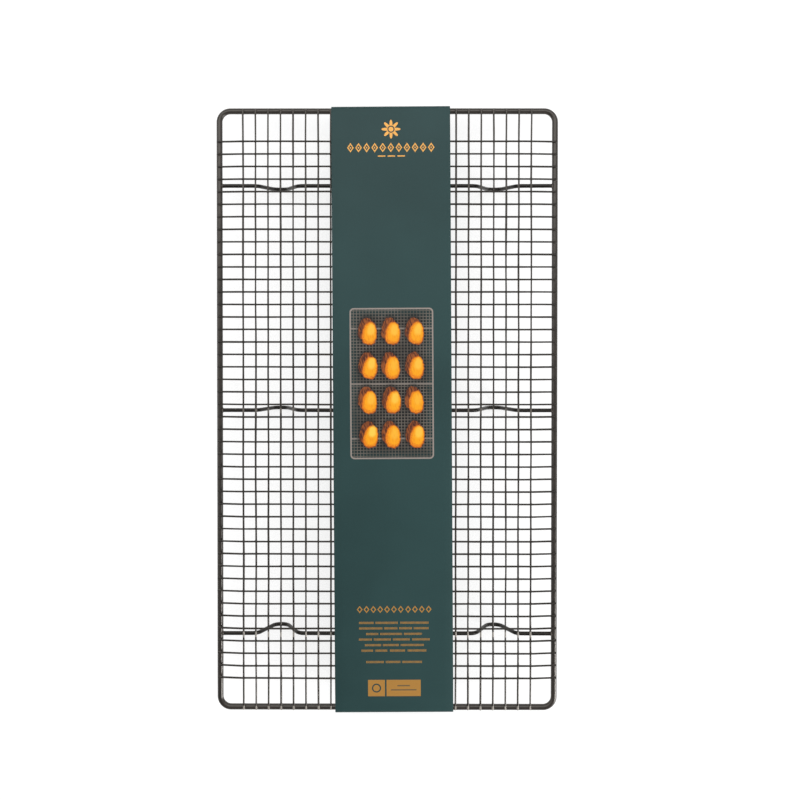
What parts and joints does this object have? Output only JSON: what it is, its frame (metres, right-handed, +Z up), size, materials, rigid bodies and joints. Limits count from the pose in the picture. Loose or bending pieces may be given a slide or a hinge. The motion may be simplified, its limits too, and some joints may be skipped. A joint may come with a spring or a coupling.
{
  "type": "cooling rack",
  "caption": "Rectangular wire cooling rack: a close mesh deck in a round-wire frame on bent-wire feet, with a band of printed card wrapped lengthwise round it.",
  "frame": {"origin": "middle of the rack's outline, on the plane that its feet stand on", "axes": "+X across the rack, +Y along its long side, +Z up out of the deck"},
  "size_m": [0.26, 0.4626, 0.0275],
  "materials": {
    "frame_coating": "satin non-stick coating",
    "wire_coating": "satin non-stick coating",
    "printed_card": "matt printed card"
  },
  "bodies": {
    "rack": {"frame_ring": "frame_coating", "foot_rail_front": "wire_coating", "foot_rail_middle": "wire_coating", "foot_rail_rear": "wire_coating", "long_wire_01": "wire_coating", "long_wire_02": "wire_coating", "long_wire_03": "wire_coating", "long_wire_04": "wire_coating", "long_wire_05": "wire_coating", "long_wire_06": "wire_coating", "long_wire_07": "wire_coating", "long_wire_08": "wire_coating", "long_wire_09": "wire_coating", "long_wire_10": "wire_coating", "long_wire_11": "wire_coating", "long_wire_12": "wire_coating", "long_wire_13": "wire_coating", "long_wire_14": "wire_coating", "long_wire_15": "wire_coating", "long_wire_16": "wire_coating", "long_wire_17": "wire_coating", "long_wire_18": "wire_coating", "long_wire_19": "wire_coating", "long_wire_20": "wire_coating", "long_wire_21": "wire_coating", "long_wire_22": "wire_coating", "long_wire_23": "wire_coating", "long_wire_24": "wire_coating", "cross_wires_01": "wire_coating", "cross_wires_02": "wire_coating", "cross_wires_03": "wire_coating", "cross_wires_04": "wire_coating", "cross_wires_05": "wire_coating", "cross_wires_06": "wire_coating", "cross_wires_07": "wire_coating", "cross_wires_08": "wire_coating", "cross_wires_09": "wire_coating", "cross_wires_10": "wire_coating", "cross_wires_11": "wire_coating", "cross_wires_12": "wire_coating", "cross_wires_13": "wire_coating", "cross_wires_14": "wire_coating", "cross_wires_15": "wire_coating", "cross_wires_16": "wire_coating", "cross_wires_17": "wire_coating", "cross_wires_18": "wire_coating", "cross_wires_19": "wire_coating", "cross_wires_20": "wire_coating", "cross_wires_21": "wire_coating", "cross_wires_22": "wire_coating"},
    "sleeve": {"card_sleeve": "printed_card"}
  },
  "joints": [
    {"name": "sleeve_slide", "type": "slide", "parent": "rack", "child": "sleeve", "axis": [1, 0, 0], "range_m": [-0.0245, 0.0165]}
  ]
}
